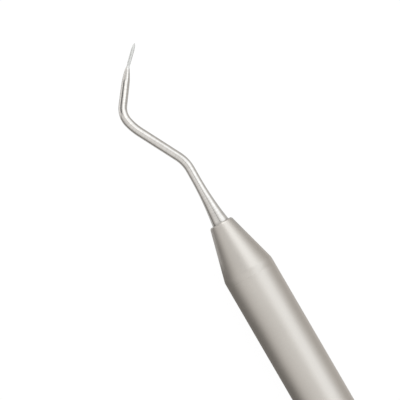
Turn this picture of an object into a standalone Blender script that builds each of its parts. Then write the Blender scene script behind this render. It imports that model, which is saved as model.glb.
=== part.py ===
"""Double-ended dental explorer: a hollow handle, two nose cones and two bent working ends.

Units are metres, +Z up. The handle's axis runs along X and its underside rests on z = 0. The bends lie in
the horizontal plane through that axis. The front end points along +X, with the outside of its bends towards
+Y, and the rear end is the same, turned half a turn about Z.
"""

from math import cos, pi, radians, sin, tan

import bmesh
import bpy
from mathutils import Matrix, Vector

MM = 0.001

# Handle
HANDLE_RADIUS = 4.75 * MM
TUBE_WALL = 0.7 * MM
TUBE_EDGE = 0.15 * MM  # chamfer inside each mouth of the tube
FACE_TO_FACE = 102.0 * MM  # from one nose face to the other

# Nose cone, with distances measured back from its flat face
NOSE_FACE_RADIUS = 2.17 * MM  # where the cone would meet the face if the rim were sharp
RIM_RADIUS = 0.4 * MM
CONE_ANGLE = radians(14.9)
BREAK_RADIUS = 2.5 * MM  # rounds the edge between the cone and the cylinder
LAND = 0.8 * MM  # full-diameter stretch between the break and the tube
SPIGOT_LENGTH = 6.0 * MM
SPIGOT_CHAMFER = 0.5 * MM
FIT_GAP = 0.03 * MM  # bond line around the spigot and around the tang
SEAM = 0.04 * MM  # between the tube's mouth and the cone's shoulder

# Working end, from the tang inside the nose to the needle's point
ROD_RADIUS = 1.5875 * MM
TANG_LENGTH = 12.0 * MM
TANG_CHAMFER = 0.4 * MM
KNURL = (2.0 * MM, 10.0 * MM)  # the stretch of the tang that is knurled, measured back from the nose face
KNURL_DEPTH = 0.09 * MM
FLARE_LENGTH = 9.0 * MM
FLARE_POWER = 1.9
SHANK_RADIUS = 0.84 * MM
# Each bend: how far its corner is from the last corner (the first from the nose face), its angle and its
# radius. The first is only a slight lean of the shank, and the last eases the needle round.
BENDS = (
    (1.95 * MM, radians(-0.7), 20.0 * MM),
    (10.55 * MM, radians(28.0), 6.6 * MM),
    (10.95 * MM, radians(-13.7), 11.2 * MM),
    (3.15 * MM, radians(-50.7), 3.65 * MM),
    (8.35 * MM, radians(-8.9), 8.9 * MM),
)
LAST_RUN = 4.65 * MM  # from the last corner to the point
# The ground taper: distance back from the point, radius there
TAPER = (
    (0.0 * MM, 0.08 * MM),
    (0.5 * MM, 0.23 * MM),
    (1.3 * MM, 0.31 * MM),
    (3.35 * MM, 0.30 * MM),
    (4.15 * MM, 0.27 * MM),
    (4.85 * MM, 0.42 * MM),
    (5.65 * MM, 0.56 * MM),
    (7.1 * MM, 0.71 * MM),
    (8.9 * MM, 0.75 * MM),
    (11.9 * MM, 0.78 * MM),
    (14.8 * MM, SHANK_RADIUS),
)

# Facets
TURNED_SIDES = 32
RIM_STEPS = 4
BREAK_STEPS = 3
SHANK_SIDES = 24
STRAIGHT_STEP = 1.3 * MM
TAPER_STEP = 0.9 * MM
ARC_STEP = 0.6 * MM
NEEDLE_STEP = 0.45 * MM
SHARP_ANGLE = radians(28)  # an edge that turns further than this isn't smoothed over

# Colour and roughness
SATIN_STEEL = ((0.62, 0.587, 0.543), 0.40)
POLISHED_STEEL = ((0.745, 0.72, 0.685), 0.11)


def clear_scene():
    for obj in list(bpy.data.objects):
        bpy.data.objects.remove(obj, do_unlink=True)


def steel(name, look):
    """A metallic material of the given colour and roughness."""
    colour, roughness = look
    material = bpy.data.materials.new(name)
    material.use_nodes = True
    shader = material.node_tree.nodes["Principled BSDF"]
    shader.inputs["Base Color"].default_value = (*colour, 1.0)
    shader.inputs["Metallic"].default_value = 1.0
    shader.inputs["Roughness"].default_value = roughness
    material.diffuse_color = (*colour, 1.0)
    material.metallic = 1.0
    material.roughness = roughness
    return material


def finish(name, bm, look):
    """Turns the bmesh into a smooth-shaded object with its own material."""
    bmesh.ops.recalc_face_normals(bm, faces=bm.faces)
    mesh = bpy.data.meshes.new(name)
    bm.to_mesh(mesh)
    bm.free()
    mesh.shade_smooth()
    mesh.set_sharp_from_angle(angle=SHARP_ANGLE)
    mesh.materials.append(steel(name, look))
    obj = bpy.data.objects.new(name, mesh)
    bpy.context.scene.collection.objects.link(obj)
    return obj


def turned(profile):
    """Spins a closed (x, radius) outline about the X axis.

    Each radius is that of the facets' middles, and one facet faces straight down.
    """
    bm = bmesh.new()
    half_step = pi / TURNED_SIDES
    outward = Vector((0, sin(half_step), -cos(half_step))) / cos(half_step)
    points = [bm.verts.new(Vector((x, 0, 0)) + outward * radius) for x, radius in profile]
    edges = [bm.edges.new((a, b)) for a, b in zip(points, points[1:] + points[:1])]
    outline = points + edges
    bmesh.ops.spin(
        bm, geom=outline, cent=(0, 0, 0), axis=(1, 0, 0), angle=2 * pi, steps=TURNED_SIDES, use_merge=True
    )
    return bm


def arc(centre, radius, start, end, steps):
    """Points of an arc in the (x, radius) plane, its angles measured from +x."""
    angles = [start + (end - start) * i / steps for i in range(steps + 1)]
    return [(centre[0] + radius * cos(a), centre[1] + radius * sin(a)) for a in angles]


def nose_profile():
    """The nose cone's outline, from its face at x = 0 back along -x, and home again through the bore."""
    rim_centre = (-RIM_RADIUS, NOSE_FACE_RADIUS - RIM_RADIUS * tan((pi / 2 - CONE_ANGLE) / 2))
    rim = arc(rim_centre, RIM_RADIUS, 0, pi / 2 - CONE_ANGLE, RIM_STEPS)
    cone_length = (HANDLE_RADIUS - NOSE_FACE_RADIUS) / tan(CONE_ANGLE)
    tangent = BREAK_RADIUS * tan(CONE_ANGLE / 2)
    break_centre = (-cone_length - tangent, HANDLE_RADIUS - BREAK_RADIUS)
    soft_break = arc(break_centre, BREAK_RADIUS, pi / 2 - CONE_ANGLE, pi / 2, BREAK_STEPS)
    shoulder = nose_shoulder()
    spigot_radius = HANDLE_RADIUS - TUBE_WALL - FIT_GAP
    back = shoulder - SPIGOT_LENGTH
    bore = ROD_RADIUS + FIT_GAP
    spigot = [
        (shoulder, HANDLE_RADIUS),
        (shoulder, spigot_radius),
        (back + SPIGOT_CHAMFER, spigot_radius),
        (back, spigot_radius - SPIGOT_CHAMFER),
    ]
    return rim + soft_break + spigot + [(back, bore), (0.0, bore)]


def nose_shoulder():
    """Where the full-diameter land ends and the tube begins, measured from the nose face."""
    cone_length = (HANDLE_RADIUS - NOSE_FACE_RADIUS) / tan(CONE_ANGLE)
    return -(cone_length + BREAK_RADIUS * tan(CONE_ANGLE / 2) + LAND)


def tube_profile():
    inside = HANDLE_RADIUS - TUBE_WALL
    end = FACE_TO_FACE / 2 + nose_shoulder() - SEAM
    half = [(end, HANDLE_RADIUS), (end, inside + TUBE_EDGE), (end - TUBE_EDGE, inside)]
    return half + [(-x, radius) for x, radius in reversed(half)]


def runs():
    """The centreline from the end of the tang to the point: (length, turning angle, longest step)."""
    found = [(TANG_CHAMFER, 0, TANG_CHAMFER), (TANG_LENGTH - KNURL[1] - TANG_CHAMFER, 0, TANG_LENGTH)]
    found += [(KNURL[1] - KNURL[0], 0, TANG_LENGTH), (KNURL[0], 0, TANG_LENGTH)]
    used = 0.0
    for number, (reach, angle, radius) in enumerate(BENDS):
        corner = radius * tan(abs(angle) / 2)
        on_taper = number == len(BENDS) - 1
        found.append((reach - used - corner, 0, TAPER_STEP if on_taper else STRAIGHT_STEP))
        found.append((radius * abs(angle), angle, ARC_STEP))
        used = corner
    found.append((LAST_RUN - used, 0, NEEDLE_STEP))
    return found


def stations():
    """(distance, point, heading) along the centreline, the distance counted from the nose face."""
    distance = -TANG_LENGTH
    point = Vector((distance, 0, 0))
    heading = 0.0
    found = [(distance, point.copy(), heading)]
    for length, turn, longest in runs():
        steps = max(1, round(length / longest))
        chord = length / steps
        if turn:
            radius = length / abs(turn)
            chord = 2 * radius * sin(abs(turn) / steps / 2)
        for _ in range(steps):
            middle = heading + turn / steps / 2
            point = point + Vector((cos(middle), sin(middle), 0)) * chord
            heading += turn / steps
            distance += length / steps
            found.append((distance, point.copy(), heading))
    return found


def between(keys, value):
    """Straight-line interpolation in a list of (position, result) pairs."""
    for (low, first), (high, second) in zip(keys, keys[1:]):
        if value <= high:
            return first + (second - first) * max(0.0, value - low) / (high - low)
    return keys[-1][1]


def rod_radius(distance, length):
    """Radius of the working end at a distance from the nose face, with the given length to its point."""
    if distance <= -TANG_LENGTH + TANG_CHAMFER / 2:
        return ROD_RADIUS - TANG_CHAMFER
    if distance <= 0:
        return ROD_RADIUS
    flare = max(0.0, 1 - distance / FLARE_LENGTH) ** FLARE_POWER
    return between(TAPER, length - distance) + (ROD_RADIUS - SHANK_RADIUS) * flare


def is_knurled(distance):
    slack = 0.01 * MM
    return -KNURL[1] - slack <= distance <= -KNURL[0] + slack


def ring(bm, point, heading, radius, knurled):
    """One ring of vertices square to the heading. On the knurled stretch every second one is sunk."""
    sideways = Vector((-sin(heading), cos(heading), 0))
    found = []
    for i in range(SHANK_SIDES):
        angle = 2 * pi * i / SHANK_SIDES
        reach = radius - (KNURL_DEPTH if knurled and i % 2 else 0)
        found.append(bm.verts.new(point + (sideways * cos(angle) + Vector((0, 0, sin(angle)))) * reach))
    return found


def working_end():
    """The formed rod: rings along the centreline, joined by quads and closed at both ends."""
    bm = bmesh.new()
    places = stations()
    length = places[-1][0]
    rings = []
    for distance, point, heading in places:
        radius = rod_radius(distance, length)
        rings.append(ring(bm, point, heading, radius, is_knurled(distance)))
    for first, second in zip(rings, rings[1:]):
        for i in range(SHANK_SIDES):
            j = (i + 1) % SHANK_SIDES
            bm.faces.new((first[i], first[j], second[j], second[i]))
    bm.faces.new(rings[0])
    bm.faces.new(rings[-1])
    return bm


def place(obj, rear):
    """Stands a piece made with its nose face at x = 0 at the front or the rear of the handle."""
    obj.location = (0, 0, HANDLE_RADIUS)
    shift = Matrix.Translation((FACE_TO_FACE / 2, 0, 0))
    obj.data.transform(Matrix.Rotation(pi if rear else 0, 4, "Z") @ shift)


def build():
    clear_scene()
    tube = finish("handle_tube", turned(tube_profile()), SATIN_STEEL)
    tube.location = (0, 0, HANDLE_RADIUS)
    for side in ("front", "rear"):
        place(finish(side + "_nose_cone", turned(nose_profile()), SATIN_STEEL), side == "rear")
        place(finish(side + "_working_end", working_end(), POLISHED_STEEL), side == "rear")


build()
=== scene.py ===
"""The looks of a double-ended dental explorer: satin hollow handle, polished shanks, ground needle points.

Every piece is turned or swept here as a fine, smooth mesh in the frame's own place, and stands for the CAD
node of the same name. Units are metres. The handle's axis runs along X, and the front end points along +X.
"""

from math import cos, pi, radians, sin, tan

import bmesh
import bpy
from mathutils import Matrix, Vector


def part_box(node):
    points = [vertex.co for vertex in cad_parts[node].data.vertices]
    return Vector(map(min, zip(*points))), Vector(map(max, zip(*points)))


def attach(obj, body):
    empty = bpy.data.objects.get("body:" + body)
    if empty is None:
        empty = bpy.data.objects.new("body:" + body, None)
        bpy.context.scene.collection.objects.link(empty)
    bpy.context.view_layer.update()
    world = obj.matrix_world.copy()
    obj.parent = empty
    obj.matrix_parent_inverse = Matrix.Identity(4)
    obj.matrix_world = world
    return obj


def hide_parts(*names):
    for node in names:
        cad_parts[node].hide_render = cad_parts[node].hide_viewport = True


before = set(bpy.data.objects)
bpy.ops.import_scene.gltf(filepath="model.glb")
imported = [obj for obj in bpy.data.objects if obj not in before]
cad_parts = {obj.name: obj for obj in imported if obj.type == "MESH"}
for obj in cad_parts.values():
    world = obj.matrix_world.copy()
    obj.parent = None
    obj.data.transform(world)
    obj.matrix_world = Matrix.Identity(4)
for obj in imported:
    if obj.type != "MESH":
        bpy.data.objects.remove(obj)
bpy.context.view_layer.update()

MM = 0.001
HANDLE_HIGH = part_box("handle_tube")[1]
NOSE_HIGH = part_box("front_nose_cone")[1]
HANDLE_RADIUS = HANDLE_HIGH.z / 2
NOSE_FACE_X = NOSE_HIGH.x
AXIS_Z = HANDLE_RADIUS

# The nose cone, measured back from its face
NOSE_FACE_RADIUS = 2.17 * MM
RIM_RADIUS = 0.4 * MM
CONE_ANGLE = radians(14.9)
BREAK_RADIUS = 2.5 * MM
LAND = 0.8 * MM
SPIGOT_LENGTH = 6.0 * MM
SPIGOT_CHAMFER = 0.5 * MM
TUBE_WALL = 0.7 * MM
TUBE_MOUTH_ROUND = 0.15 * MM  # inside
FIT_GAP = 0.03 * MM
SEAM = 0.002 * MM
SEAM_ROUND = 0.004 * MM
BORE_ROUND = 0.05 * MM

# The working end
ROD_RADIUS = 1.5875 * MM
TANG_LENGTH = 12.0 * MM
TANG_CHAMFER = 0.4 * MM
KNURL = (2.0 * MM, 10.0 * MM)
KNURL_DEPTH = 0.09 * MM
KNURL_TEETH = 12
FLARE_LENGTH = 9.0 * MM
FLARE_POWER = 1.9
SHANK_RADIUS = 0.84 * MM
# Each bend: how far its corner is from the last one (the first from the nose face), its angle, its radius
BENDS = (
    (1.95 * MM, radians(-0.7), 20.0 * MM),
    (10.55 * MM, radians(28.0), 6.6 * MM),
    (10.95 * MM, radians(-13.7), 11.2 * MM),
    (3.15 * MM, radians(-50.7), 3.65 * MM),
    (8.35 * MM, radians(-8.9), 8.9 * MM),
)
LAST_RUN = 4.65 * MM
BEND_EASING = 0.7 * MM  # the stretch over which a bend's curvature comes and goes
POINT_ROUNDING = 0.6  # how far the point stands out, as a part of the radius there
# The ground taper: distance back from the point, radius there
TAPER = (
    (0.0 * MM, 0.08 * MM),
    (0.5 * MM, 0.23 * MM),
    (1.3 * MM, 0.31 * MM),
    (3.35 * MM, 0.30 * MM),
    (4.15 * MM, 0.27 * MM),
    (4.85 * MM, 0.42 * MM),
    (5.65 * MM, 0.56 * MM),
    (7.1 * MM, 0.71 * MM),
    (8.9 * MM, 0.75 * MM),
    (11.9 * MM, 0.78 * MM),
    (14.8 * MM, SHANK_RADIUS),
)

# Mesh fineness
TURNED_SIDES = 256
RIM_STEPS = 14
CONE_STEPS = 24
BREAK_STEPS = 12
EDGE_STEPS = 4
BORE_STEPS = 40
BARREL_STEPS = 80
ROD_SIDES = 96
ROD_STEP = 0.2 * MM
NEEDLE_STEP = 0.06 * MM
NEEDLE_REACH = 7.0 * MM
EASING_SAMPLES = 9
SHARP_ANGLE = radians(35)

# Satin steel. A noise's fineness is its number of features per metre along X, Y and Z
NOISE_RANGE = (0.3, 0.7)  # where nearly all of a noise's values lie
SATIN_GRAIN = (9000, 9000, 9000)
SATIN_LINES = (16000, 420, 420)
SATIN_CLOUDS = (90, 140, 140)
SATIN_TONES = ((0.35, (0.61, 0.577, 0.533, 1)), (0.65, (0.65, 0.615, 0.568, 1)))
SATIN_ROUGHNESS = (0.38, 0.42)
SATIN_CLOUD_ROUGHNESS = (-0.015, 0.02)
SATIN_BUMP = (0.12, 0.02 * MM)  # strength, distance
BURNISHED = (0.5 * MM, 0.1 * MM)  # how far behind the nose face it starts and is complete
BURNISHED_WANDER = 0.12 * MM  # how far the grain shifts this to either side
BURNISHED_STEEL = (0.67, 0.635, 0.59, 1)
BURNISHED_ROUGHNESS = -0.06  # added

# Polished steel, and the ground steel of the needle
POLISH_LINES = (260, 11000, 11000)
POLISH_MARKS = (3600, 500, 500)
POLISH_MARK_RANGE = (0.35, 0.65)
POLISH_MARK_TONES = (0.92, 1.04)
POLISH_HAZE = (300, 500, 500)
POLISH_HAZE_RANGE = (0.35, 0.7)
POLISH_TONES = ((0.3, (0.73, 0.705, 0.67, 1)), (0.7, (0.76, 0.735, 0.70, 1)))
POLISH_ROUGHNESS = (0.09, 0.13)
POLISH_HAZE_ROUGHNESS = (0.0, 0.03)
POLISH_BUMP = (0.05, 0.01 * MM)
GROUND = (4.8 * MM, 4.2 * MM)  # how far back from the point it starts and is complete
GROUND_RINGS = (22000, 500, 500)
GROUND_STEEL = (0.77, 0.77, 0.75, 1)
GROUND_ROUGHNESS = (0.60, 0.68)
# Painted shade: the rod's colour is darkened next to the nose face, standing in for the shade in the corner
# where the two meet
JOINT_PAINTED_SHADE = (0.05 * MM, 0.3 * MM)  # ahead of the nose face, between which the joint's painted shade fades out
JOINT_PAINTED_SHADE_TONES = (0.75, 1.0)

# Floor and backdrop
FLOOR_SIZE = 12.0
FLOOR_GREY = 0.08
MATT_ROUGHNESS = 0.9
FLOOR_GLOW = 0.95
BACKDROP_GREY = 0.97

# Level studio cards under and over each end. Heights are from the handle's axis, and corners are in mm, as
# (ahead of the nose face, aside)
CARD_LIFT = 0.05 * MM  # off the floor
ON_TABLE = -AXIS_Z + CARD_LIFT
LEVEL_CARDS = (
    dict(name="table_card_dim", height=ON_TABLE, glow=0.55,
         corners=((-5.5, 0), (-5.5, 14), (42, 20), (42, 0))),
    dict(name="table_card_light", height=ON_TABLE, glow=0.56,
         corners=((-2, 0), (24, 0), (24, -16), (-2, -16))),
    dict(name="overhead_strip", height=40 * MM, glow=0.34,
         corners=((8, -3.4), (14.6, -3.4), (14.6, 1.2), (8, 1.2))),
    dict(name="table_card_tip", height=ON_TABLE, glow=0.36,
         corners=((27, 1), (36, -4), (36, -16), (27, -16))),
)

# The other cards are set out from the rod's middle this far back from the point. A span is how far a card
# reaches back (negative) and ahead along the rod
TIP_CARDS_BACK = 6.7 * MM
# A bright card lies on the table beside the last stretch, with an upright one along its far edge
BRIGHT_GLOW = 0.97
BRIGHT_NEAR = 3.2 * MM
BRIGHT_NEAR_SPAN = (-10 * MM, 30 * MM)
BRIGHT_FAR = 50 * MM
BRIGHT_FAR_SPAN = (-25 * MM, 45 * MM)
BRIGHT_RISE = 16 * MM
# Two cards hang over the last stretch, each off the rod's middle along its aim. Their slant is how far
# outward they go for each step ahead
HUNG_CARDS = (
    dict(name="dark_card", aim=(0.50, 0.62, 0.70), distance=26 * MM, span=(-10.5 * MM, 5 * MM),
         half_width=7.5 * MM, slant=0.6, glow=0.18),
    dict(name="overhead_card", aim=(-0.05, -0.06, 1.0), distance=14 * MM, span=(-5 * MM, 2.5 * MM),
         half_width=4.2 * MM, slant=0.9, glow=1.45),
)

# The studio's light by the direction it comes from: (degrees round the handle's axis from overhead, light,
# warmth), from below round the dim side, over the top and down the lit side
LIGHT_ROUND = (
    (-180, 0.35, 0.03), (-135, 0.19, 0.04), (-98, 0.19, 0.04), (-84, 0.41, 0.03), (-60, 0.73, 0.01),
    (-16, 0.92, 0.0), (-5, 0.90, 0.0), (-2, 0.80, 0.0), (3, 0.80, 0.0), (7, 0.98, 0.0), (17, 1.12, -0.01),
    (26, 1.41, -0.03), (60, 1.41, -0.03), (68, 1.02, -0.01), (90, 0.64, 0.02), (112, 0.49, 0.04),
    (132, 0.64, 0.03), (150, 0.74, 0.02), (180, 0.35, 0.03),
)
SIDE_BLEND = 8  # degrees either side of overhead over which one side's changes give way to the other's
# How each side changes along the handle. A soft step is (from, to, value before, value after), with from
# and to as cosines of the direction to +X. Leans are in degrees further round
LIT_LEANS = ((-0.5, -0.2, 28, 0), (0.04, 0.2, 0, -12), (0.22, 0.44, 0, 18))
DIM_LEANS = ((-0.37, -0.17, -5, 0),)
LIT_STRENGTHS = ((-0.5, -0.25, 0.92, 1.0), (0.11, 0.25, 0.0, -0.06), (0.38, 0.62, 0.0, 0.35))
DIM_DIPS = ((0.15, 0.3, 0.0, -0.19),)
DIM_DIP_ROUND = (-45, -15)  # degrees round, where the dips start and are complete

# The camera stands over the front nose
CAMERA_DISTANCE = 0.7
CAMERA_LENS = 355.1
CAMERA_CLIP = (0.01, 20.0)
AXIS_TURN = radians(59.88)  # how far the handle's axis is turned from the image's horizontal
AIM_AHEAD = 5.33 * MM
AIM_ASIDE = 1.142 * MM


# ---------------------------------------------------------------------------- meshes

def new_object(name, bm, material):
    """Puts the bmesh in the scene as an object."""
    mesh = bpy.data.meshes.new(name)
    bm.to_mesh(mesh)
    bm.free()
    mesh.materials.append(material)
    made = bpy.data.objects.new(name, mesh)
    bpy.context.scene.collection.objects.link(made)
    return made


def new_piece(name, bm, node, material):
    """Makes the piece from a bmesh, smooth-shaded, in place of the CAD node."""
    bmesh.ops.recalc_face_normals(bm, faces=bm.faces)
    piece = new_object(name, bm, material)
    piece.data.shade_smooth()
    piece.data.set_sharp_from_angle(angle=SHARP_ANGLE)
    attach(piece, "root")
    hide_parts(node)
    return piece


def to_place(bm, rear):
    """Moves a shape made along +X from the middle of the handle's axis to the front or the rear."""
    turn = Matrix.Rotation(pi if rear else 0, 4, "Z")
    bmesh.ops.transform(bm, matrix=Matrix.Translation((0, 0, AXIS_Z)) @ turn, verts=bm.verts)


def turned(profile):
    """Spins a closed (x, radius) outline about the X axis."""
    bm = bmesh.new()
    points = [bm.verts.new((x, 0, -radius)) for x, radius in profile]
    edges = [bm.edges.new((a, b)) for a, b in zip(points, points[1:] + points[:1])]
    outline = points + edges
    bmesh.ops.spin(
        bm, geom=outline, cent=(0, 0, 0), axis=(1, 0, 0), angle=2 * pi, steps=TURNED_SIDES, use_merge=True
    )
    return bm


def arc(centre, radius, start, end, steps):
    """Points of an arc in the (x, radius) plane, its angles measured from +x."""
    angles = [start + (end - start) * i / steps for i in range(steps + 1)]
    return [(centre[0] + radius * cos(a), centre[1] + radius * sin(a)) for a in angles]


def stretch(start, end, steps):
    """Points between two (x, radius) ends, leaving out both, so that long faces stay in proportion."""
    return [
        (start[0] + (end[0] - start[0]) * i / steps, start[1] + (end[1] - start[1]) * i / steps)
        for i in range(1, steps)
    ]


def cone_length():
    """How far the cone would reach back from the nose face if its break were sharp."""
    return (HANDLE_RADIUS - NOSE_FACE_RADIUS) / tan(CONE_ANGLE)


def nose_shoulder():
    """Where the full-diameter land ends and the tube begins, measured from the nose face."""
    return -(cone_length() + BREAK_RADIUS * tan(CONE_ANGLE / 2) + LAND)


def nose_profile():
    """The nose cone's outline with its face at x = 0: rim, cone, soft break, land, spigot and bore."""
    rim_centre = (-RIM_RADIUS, NOSE_FACE_RADIUS - RIM_RADIUS * tan((pi / 2 - CONE_ANGLE) / 2))
    rim = arc(rim_centre, RIM_RADIUS, 0, pi / 2 - CONE_ANGLE, RIM_STEPS)
    tangent = BREAK_RADIUS * tan(CONE_ANGLE / 2)
    break_centre = (-cone_length() - tangent, HANDLE_RADIUS - BREAK_RADIUS)
    soft_break = arc(break_centre, BREAK_RADIUS, pi / 2 - CONE_ANGLE, pi / 2, BREAK_STEPS)
    shoulder = nose_shoulder()
    edge = arc((shoulder + SEAM_ROUND, HANDLE_RADIUS - SEAM_ROUND), SEAM_ROUND, pi / 2, pi, EDGE_STEPS)
    spigot_radius = HANDLE_RADIUS - TUBE_WALL - FIT_GAP
    back = shoulder - SPIGOT_LENGTH
    bore = ROD_RADIUS + FIT_GAP
    spigot = [
        (shoulder, spigot_radius),
        (back + SPIGOT_CHAMFER, spigot_radius),
        (back, spigot_radius - SPIGOT_CHAMFER),
        (back, bore),
    ]
    mouth = arc((-BORE_ROUND, bore + BORE_ROUND), BORE_ROUND, -pi / 2, 0, EDGE_STEPS)
    cone = stretch(rim[-1], soft_break[0], CONE_STEPS)
    return rim + cone + soft_break + edge + spigot + mouth


def make_nose(side, material):
    bm = turned([(NOSE_FACE_X + x, radius) for x, radius in nose_profile()])
    to_place(bm, side == "rear")
    node = side + "_nose_cone"
    return new_piece(node + "_satin", bm, node, material)


def make_tube(material):
    """The handle's tube, its mouths rounded outside and eased inside."""
    inside = HANDLE_RADIUS - TUBE_WALL
    end = NOSE_FACE_X + nose_shoulder() - SEAM
    outer_edge = arc((end - SEAM_ROUND, HANDLE_RADIUS - SEAM_ROUND), SEAM_ROUND, pi / 2, 0, EDGE_STEPS)
    inner_centre = (end - TUBE_MOUTH_ROUND, inside + TUBE_MOUTH_ROUND)
    inner_edge = arc(inner_centre, TUBE_MOUTH_ROUND, 0, -pi / 2, EDGE_STEPS)
    front = outer_edge + inner_edge
    rear = [(-x, radius) for x, radius in reversed(front)]
    bore = stretch(front[-1], rear[0], BORE_STEPS)
    barrel = stretch(rear[-1], front[0], BARREL_STEPS)
    bm = turned(front + bore + rear + barrel)
    to_place(bm, False)
    return new_piece("handle_tube_satin", bm, "handle_tube", material)


def bend_table():
    """The bent stretches as (start, end, angle), measured from the nose face, and the rod's free length."""
    found = []
    distance = 0.0
    used = 0.0
    for reach, angle, radius in BENDS:
        corner = radius * tan(abs(angle) / 2)
        distance += reach - used - corner
        found.append((distance, distance + radius * abs(angle), angle))
        distance += radius * abs(angle)
        used = corner
    return found, distance + LAST_RUN - used


def sharp_heading(bends, distance):
    """Heading of the centreline where every bend is a true arc."""
    turned_by = 0.0
    for start, end, angle in bends:
        turned_by += angle * min(1.0, max(0.0, (distance - start) / (end - start)))
    return turned_by


def heading_at(bends, distance):
    """Heading with the ends of each arc eased, as a bent rod's are."""
    offsets = [BEND_EASING * ((i + 0.5) / EASING_SAMPLES - 0.5) for i in range(EASING_SAMPLES)]
    return sum(sharp_heading(bends, distance + offset) for offset in offsets) / EASING_SAMPLES


def slopes(keys):
    """Slopes for a smooth curve through the keys that never overshoots them."""
    rises = [(b[1] - a[1]) / (b[0] - a[0]) for a, b in zip(keys, keys[1:])]
    inner = [2 * a * b / (a + b) if a * b > 0 else 0.0 for a, b in zip(rises, rises[1:])]
    return [rises[0], *inner, 0.0]


def smooth_between(keys, value):
    """Cubic interpolation in a list of (position, result) keys."""
    tangents = slopes(keys)
    for i in range(len(keys) - 1):
        (low, first), (high, second) = keys[i], keys[i + 1]
        if value <= high:
            width = high - low
            t = max(0.0, (value - low) / width)
            rise = (2 * t ** 3 - 3 * t ** 2 + 1) * first + (3 * t ** 2 - 2 * t ** 3) * second
            return rise + width * t * (1 - t) * ((1 - t) * tangents[i] - t * tangents[i + 1])
    return keys[-1][1]


def rod_radius(distance, length):
    """Radius of the working end at a distance from the nose face."""
    if distance < -TANG_LENGTH + TANG_CHAMFER:
        return ROD_RADIUS - (TANG_CHAMFER - (distance + TANG_LENGTH))
    if distance <= 0:
        return ROD_RADIUS
    flare = max(0.0, 1 - distance / FLARE_LENGTH) ** FLARE_POWER
    return smooth_between(TAPER, length - distance) + (ROD_RADIUS - SHANK_RADIUS) * flare


def rod_places(length):
    """Distances at which the rod gets a ring, closer together on the needle and the tang's chamfer."""
    found = []
    distance = -TANG_LENGTH
    while distance < length - NEEDLE_STEP / 2:
        found.append(distance)
        on_needle = length - distance < NEEDLE_REACH
        on_chamfer = distance < -TANG_LENGTH + TANG_CHAMFER
        distance += NEEDLE_STEP if on_needle or on_chamfer else ROD_STEP
    return found + [length]


def knurl_sink(distance, angle):
    """How far the surface of the tang is sunk by its straight knurl."""
    if not -KNURL[1] <= distance <= -KNURL[0]:
        return 0.0
    return KNURL_DEPTH * (0.5 - 0.5 * cos(KNURL_TEETH * angle))


def centreline():
    """The front rod's middle, in the plane of its bends, as (distance, point, heading)."""
    bends, length = bend_table()
    point = Vector((NOSE_FACE_X - TANG_LENGTH, 0, 0))
    last = -TANG_LENGTH
    found = []
    for distance in rod_places(length):
        middle = heading_at(bends, (distance + last) / 2)
        point = point + Vector((cos(middle), sin(middle), 0)) * (distance - last)
        found.append((distance, point, heading_at(bends, distance)))
        last = distance
    return found


def directions(heading):
    """Unit vectors ahead along the rod and out to the side of the bends' outer corner."""
    return Vector((cos(heading), sin(heading), 0)), Vector((-sin(heading), cos(heading), 0))


def make_working_end(side, material):
    """Sweeps the rod's rings along the bent centreline and rounds its point.

    The attribute straight_rod keeps where each point was before the rod was bent, for the polishing marks.
    """
    places = centreline()
    length, point, heading = places[-1]
    bm = bmesh.new()
    straight = bm.verts.layers.float_vector.new("straight_rod")
    apex = bm.verts.new(point + directions(heading)[0] * rod_radius(length, length) * POINT_ROUNDING)
    apex[straight] = (length, 0, 0)
    rings = []
    for distance, point, heading in places:
        sideways = directions(heading)[1]
        radius = rod_radius(distance, length)
        ring = []
        for i in range(ROD_SIDES):
            angle = 2 * pi * i / ROD_SIDES
            reach = radius - knurl_sink(distance, angle)
            vert = bm.verts.new(point + (sideways * cos(angle) + Vector((0, 0, sin(angle)))) * reach)
            vert[straight] = (distance, ROD_RADIUS * cos(angle), ROD_RADIUS * sin(angle))
            ring.append(vert)
        rings.append(ring)
    for first, second in zip(rings, rings[1:]):
        for i in range(ROD_SIDES):
            j = (i + 1) % ROD_SIDES
            bm.faces.new((first[i], first[j], second[j], second[i]))
    bm.faces.new(rings[0])
    for i in range(ROD_SIDES):
        bm.faces.new((rings[-1][i], rings[-1][(i + 1) % ROD_SIDES], apex))
    to_place(bm, side == "rear")
    node = side + "_working_end"
    return new_piece(node + "_polished", bm, node, material)


# ---------------------------------------------------------------------------- materials

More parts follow.
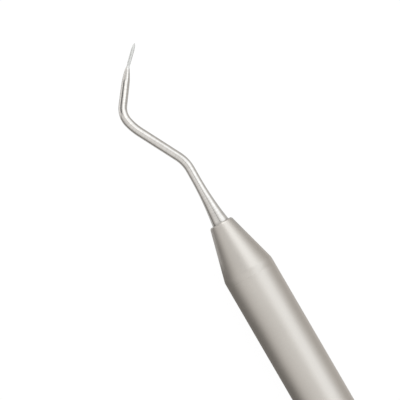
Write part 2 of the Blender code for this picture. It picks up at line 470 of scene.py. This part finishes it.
class Nodes:
    """Short ways to build a node tree. A value given to them is a socket or a number."""

    def __init__(self, tree):
        self.tree = tree

    def add(self, kind, **settings):
        node = self.tree.nodes.new(kind)
        for name, value in settings.items():
            setattr(node, name, value)
        return node

    def put(self, socket, value):
        """Links the value if it is a socket, and otherwise sets it."""
        if isinstance(value, bpy.types.NodeSocket):
            self.tree.links.new(value, socket)
        else:
            socket.default_value = value

    def maths(self, operation, *values):
        node = self.add("ShaderNodeMath", operation=operation)
        for i, value in enumerate(values):
            self.put(node.inputs[i], value)
        return node.outputs[0]

    def total(self, *values):
        """The sum of all the values."""
        running = values[0]
        for value in values[1:]:
            running = self.maths("ADD", running, value)
        return running

    def weighed(self, first, second, share):
        """The sum of two values, the first with its share and the second with the rest."""
        return self.total(self.maths("MULTIPLY", first, share), self.maths("MULTIPLY", second, 1 - share))

    def axes(self, vector):
        """The outputs X, Y and Z of a vector."""
        split = self.add("ShaderNodeSeparateXYZ")
        self.put(split.inputs[0], vector)
        return split.outputs

    def noise(self, vector, fineness, detail=2.0, roughness=0.5):
        """Noise between about 0 and 1. The fineness is the features per metre along X, Y and Z."""
        mapping = self.add("ShaderNodeMapping")
        self.put(mapping.inputs["Vector"], vector)
        mapping.inputs["Scale"].default_value = fineness
        node = self.add("ShaderNodeTexNoise")
        self.put(node.inputs["Vector"], mapping.outputs[0])
        node.inputs["Scale"].default_value = 1.0
        node.inputs["Detail"].default_value = detail
        node.inputs["Roughness"].default_value = roughness
        return node.outputs["Fac"]

    def spread(self, value, low, high, new_low, new_high):
        """Maps low..high to new_low..new_high with soft ends."""
        node = self.add("ShaderNodeMapRange", interpolation_type="SMOOTHSTEP")
        for i, number in enumerate((value, low, high, new_low, new_high)):
            self.put(node.inputs[i], number)
        return node.outputs[0]

    def ramp(self, value, stops):
        """A colour ramp through (position, colour) stops."""
        node = self.add("ShaderNodeValToRGB")
        self.put(node.inputs[0], value)
        elements = node.color_ramp.elements
        while len(elements) > 1:
            elements.remove(elements[-1])
        for i, (position, colour) in enumerate(stops):
            element = elements[0] if i == 0 else elements.new(position)
            element.position = position
            element.color = colour
        return node.outputs["Color"]

    def mix(self, factor, first, second):
        node = self.add("ShaderNodeMix", data_type="RGBA")
        self.put(node.inputs["Factor"], factor)
        self.put(node.inputs[6], first)
        self.put(node.inputs[7], second)
        return node.outputs[2]

    def bump(self, height, strength, distance):
        """The normal of a surface with this relief."""
        node = self.add("ShaderNodeBump")
        node.inputs["Strength"].default_value = strength
        node.inputs["Distance"].default_value = distance
        self.put(node.inputs["Height"], height)
        return node.outputs[0]


def new_metal(name):
    """A metallic Principled material, with its nodes helper and its shader."""
    material = bpy.data.materials.new(name)
    material.use_nodes = True
    shader = material.node_tree.nodes["Principled BSDF"]
    shader.inputs["Metallic"].default_value = 1.0
    return material, Nodes(material.node_tree), shader


def satin_steel(name):
    """Fine satin: blasted grain over faint turning lines and soft clouds, burnished at the noses' rims."""
    material, nodes, shader = new_metal(name)
    place = nodes.add("ShaderNodeTexCoord").outputs["Object"]
    grain = nodes.noise(place, SATIN_GRAIN, detail=3.0, roughness=0.6)
    lines = nodes.noise(place, SATIN_LINES)
    clouds = nodes.noise(place, SATIN_CLOUDS, detail=3.0)
    colour = nodes.ramp(nodes.weighed(lines, clouds, share=0.4), SATIN_TONES)

    from_middle = nodes.maths("ABSOLUTE", nodes.axes(place)["X"])
    wander = nodes.spread(grain, *NOISE_RANGE, -BURNISHED_WANDER, BURNISHED_WANDER)
    start, complete = (NOSE_FACE_X - distance for distance in BURNISHED)
    burnished = nodes.spread(nodes.total(from_middle, wander), start, complete, 0.0, 1.0)
    nodes.put(shader.inputs["Base Color"], nodes.mix(burnished, colour, BURNISHED_STEEL))

    rough = nodes.total(
        nodes.spread(lines, *NOISE_RANGE, *SATIN_ROUGHNESS),
        nodes.spread(clouds, *NOISE_RANGE, *SATIN_CLOUD_ROUGHNESS),
        nodes.maths("MULTIPLY", burnished, BURNISHED_ROUGHNESS),
    )
    nodes.put(shader.inputs["Roughness"], rough)
    relief = nodes.weighed(grain, lines, share=0.7)
    nodes.put(shader.inputs["Normal"], nodes.bump(relief, *SATIN_BUMP))
    return material


def polished_steel(name):
    """Polished rod with faint lengthwise lines and marks, and a finely ground needle."""
    material, nodes, shader = new_metal(name)
    length = bend_table()[1]
    straight = nodes.add("ShaderNodeAttribute", attribute_name="straight_rod").outputs["Vector"]
    from_nose = nodes.axes(straight)["X"]
    start, complete = (length - distance for distance in GROUND)
    ground = nodes.spread(from_nose, start, complete, 0.0, 1.0)
    lines = nodes.noise(straight, POLISH_LINES)
    marks = nodes.noise(straight, POLISH_MARKS, detail=3.0, roughness=0.6)
    rings = nodes.noise(straight, GROUND_RINGS, detail=1.0)
    haze = nodes.noise(straight, POLISH_HAZE, detail=3.0)

    polish_rough = nodes.total(
        nodes.spread(lines, *NOISE_RANGE, *POLISH_ROUGHNESS),
        nodes.spread(haze, *POLISH_HAZE_RANGE, *POLISH_HAZE_ROUGHNESS),
    )
    ground_rough = nodes.spread(rings, *NOISE_RANGE, *GROUND_ROUGHNESS)
    rough = nodes.total(
        nodes.maths("MULTIPLY", polish_rough, nodes.maths("SUBTRACT", 1.0, ground)),
        nodes.maths("MULTIPLY", ground_rough, ground),
    )
    nodes.put(shader.inputs["Roughness"], rough)

    # The rod's colour carries its polish marks and, next to the nose face, painted shade for the corner
    # where the rod meets the face
    shade = nodes.maths(
        "MULTIPLY",
        nodes.spread(marks, *POLISH_MARK_RANGE, *POLISH_MARK_TONES),
        nodes.spread(from_nose, *JOINT_PAINTED_SHADE, *JOINT_PAINTED_SHADE_TONES),
    )
    scaled = nodes.add("ShaderNodeVectorMath", operation="SCALE")
    nodes.put(scaled.inputs[0], nodes.mix(ground, nodes.ramp(haze, POLISH_TONES), GROUND_STEEL))
    nodes.put(scaled.inputs["Scale"], shade)
    nodes.put(shader.inputs["Base Color"], scaled.outputs[0])

    relief = nodes.total(lines, nodes.maths("MULTIPLY", rings, ground))
    nodes.put(shader.inputs["Normal"], nodes.bump(relief, *POLISH_BUMP))
    return material


def glowing(name, glow, grey=0.0):
    """A matt material that glows evenly and has no gloss."""
    material = bpy.data.materials.new(name)
    material.use_nodes = True
    shader = material.node_tree.nodes["Principled BSDF"]
    shader.inputs["Base Color"].default_value = (grey, grey, grey, 1)
    shader.inputs["Roughness"].default_value = MATT_ROUGHNESS
    shader.inputs["Specular IOR Level"].default_value = 0.0
    shader.inputs["Emission Color"].default_value = (1, 1, 1, 1)
    shader.inputs["Emission Strength"].default_value = glow
    return material


# ---------------------------------------------------------------------------- studio

def make_floor():
    """A large pale floor. The steel doesn't mirror it, so that its underside shows the darker studio."""
    bm = bmesh.new()
    bmesh.ops.create_grid(bm, x_segments=4, y_segments=4, size=FLOOR_SIZE)
    floor = new_object("studio_floor", bm, glowing("pale_floor", FLOOR_GLOW, FLOOR_GREY))
    floor.visible_glossy = False


def make_card(side, name, corners, glow):
    """A glowing studio card that only the steel sees. Its corners are given as for the front end."""
    bm = bmesh.new()
    bm.faces.new([bm.verts.new(corner) for corner in corners])
    to_place(bm, side == "rear")
    name = side + "_" + name
    card = new_object(name, bm, glowing(name, glow))
    card.visible_camera = False
    card.visible_diffuse = False
    card.visible_shadow = False


def make_level_card(side, name, height, glow, corners):
    """A card that lies on the table or hangs level overhead."""
    make_card(side, name, [(NOSE_FACE_X + x * MM, y * MM, height) for x, y in corners], glow)


def make_bright_cards(side, tip):
    """A card on the table beside the last stretch, and one standing along its far edge."""
    middle, ahead, outward = tip
    on_table = middle + Vector((0, 0, ON_TABLE))
    near_back, near_front = (on_table + outward * BRIGHT_NEAR + ahead * reach for reach in BRIGHT_NEAR_SPAN)
    far_back, far_front = (on_table + outward * BRIGHT_FAR + ahead * reach for reach in BRIGHT_FAR_SPAN)
    rise = Vector((0, 0, BRIGHT_RISE))
    make_card(side, "bright_card", (near_back, near_front, far_front, far_back), BRIGHT_GLOW)
    make_card(side, "bright_upright", (far_back, far_front, far_front + rise, far_back + rise), BRIGHT_GLOW)


def make_hung_card(side, tip, name, aim, distance, span, half_width, slant, glow):
    """A card hung over the last stretch, its width square to its aim and to the rod."""
    middle, ahead, outward = tip
    aim = Vector(aim).normalized()
    across = aim.cross(ahead).normalized() * half_width
    slanted = ahead + outward * slant
    first, last = (middle + aim * distance + slanted * reach for reach in span)
    make_card(side, name, (first - across, last - across, last + across, first + across), glow)


def make_cards(side):
    """The cards round one end. They put the dark and bright lines on its polished rod."""
    for card in LEVEL_CARDS:
        make_level_card(side, **card)
    back = bend_table()[1] - TIP_CARDS_BACK
    middle, heading = next((point, heading) for distance, point, heading in centreline() if distance > back)
    tip = (middle, *directions(heading))
    make_bright_cards(side, tip)
    for card in HUNG_CARDS:
        make_hung_card(side, tip, **card)


def part(degrees):
    """An angle as a part of a whole turn."""
    return degrees / 360


def ramp_place(degrees):
    """Where on the ramp of the light round the handle an angle is. Straight overhead is at its middle."""
    return 0.5 + part(degrees)


def changes(nodes, along, steps):
    """The sum of soft steps along the handle."""
    return nodes.total(*[nodes.spread(along, *step) for step in steps])


def leans(nodes, along, steps):
    """The sum of soft steps given in degrees, as a part of a whole turn."""
    in_parts = [(start, end, part(before), part(after)) for start, end, before, after in steps]
    return changes(nodes, along, in_parts)


def make_surroundings():
    """A soft studio: a long light over one side of the object, dimming round the other and dark below."""
    world = bpy.data.worlds.new("soft_studio")
    bpy.context.scene.world = world
    world.use_nodes = True
    world.node_tree.nodes.clear()
    nodes = Nodes(world.node_tree)
    direction = nodes.axes(nodes.add("ShaderNodeTexCoord").outputs["Generated"])
    along = direction["X"]
    round_axis = nodes.maths("ARCTAN2", nodes.maths("MULTIPLY", direction["Y"], -1.0), direction["Z"])
    turn = nodes.maths("DIVIDE", round_axis, 2 * pi)
    lit_side = nodes.spread(turn, part(-SIDE_BLEND), part(SIDE_BLEND), 0.0, 1.0)
    dim_side = nodes.maths("SUBTRACT", 1.0, lit_side)

    # The lights lean: towards one end they stand further round than towards the other
    turn = nodes.total(
        turn,
        nodes.maths("MULTIPLY", leans(nodes, along, LIT_LEANS), lit_side),
        nodes.maths("MULTIPLY", leans(nodes, along, DIM_LEANS), dim_side),
        ramp_place(0),
    )
    light = nodes.ramp(turn, [
        (ramp_place(degrees), (light * (1 + warmth), light, light * (1 - warmth), 1.0))
        for degrees, light, warmth in LIGHT_ROUND
    ])

    # The lit side is dimmer ahead and brightest low over the end, and the dim side dips ahead near overhead
    dip_place = nodes.spread(turn, *(ramp_place(degrees) for degrees in DIM_DIP_ROUND), 0.0, 1.0)
    dip = nodes.maths("MULTIPLY", changes(nodes, along, DIM_DIPS), dip_place)
    strength = nodes.total(
        nodes.maths("MULTIPLY", changes(nodes, along, LIT_STRENGTHS), lit_side),
        nodes.maths("MULTIPLY", nodes.total(dip, 1.0), dim_side),
    )
    steel_sees = nodes.add("ShaderNodeBackground")
    nodes.put(steel_sees.inputs["Color"], light)
    nodes.put(steel_sees.inputs["Strength"], strength)
    backdrop = nodes.add("ShaderNodeBackground")
    backdrop.inputs["Color"].default_value = (BACKDROP_GREY, BACKDROP_GREY, BACKDROP_GREY, 1)
    choose = nodes.add("ShaderNodeMixShader")
    nodes.put(choose.inputs[0], nodes.add("ShaderNodeLightPath").outputs["Is Camera Ray"])
    nodes.put(choose.inputs[1], steel_sees.outputs[0])
    nodes.put(choose.inputs[2], backdrop.outputs[0])
    output = nodes.add("ShaderNodeOutputWorld")
    nodes.put(output.inputs["Surface"], choose.outputs[0])


def make_camera():
    """Looks straight down on the plane of the bends, over the front nose."""
    data = bpy.data.cameras.new("camera")
    data.lens = CAMERA_LENS
    data.clip_start, data.clip_end = CAMERA_CLIP
    camera = bpy.data.objects.new("camera", data)
    bpy.context.scene.collection.objects.link(camera)
    bpy.context.scene.camera = camera
    back = Vector((0, 0, 1))
    along = Vector((1, 0, 0))
    aside = Vector((0, 1, 0))
    right = -along * cos(AXIS_TURN) - aside * sin(AXIS_TURN)
    up = along * sin(AXIS_TURN) - aside * cos(AXIS_TURN)
    turn = Matrix((right, up, back)).transposed().to_4x4()
    aim = Vector((NOSE_FACE_X + AIM_AHEAD, AIM_ASIDE, AXIS_Z))
    camera.matrix_world = Matrix.Translation(aim + back * CAMERA_DISTANCE) @ turn


def main():
    make_camera()
    satin = satin_steel("satin_steel")
    polished = polished_steel("polished_steel")
    make_tube(satin)
    for side in ("front", "rear"):
        make_nose(side, satin)
        make_working_end(side, polished)
        make_cards(side)
    make_floor()
    make_surroundings()
    bpy.context.scene.view_settings.view_transform = "Standard"


main()
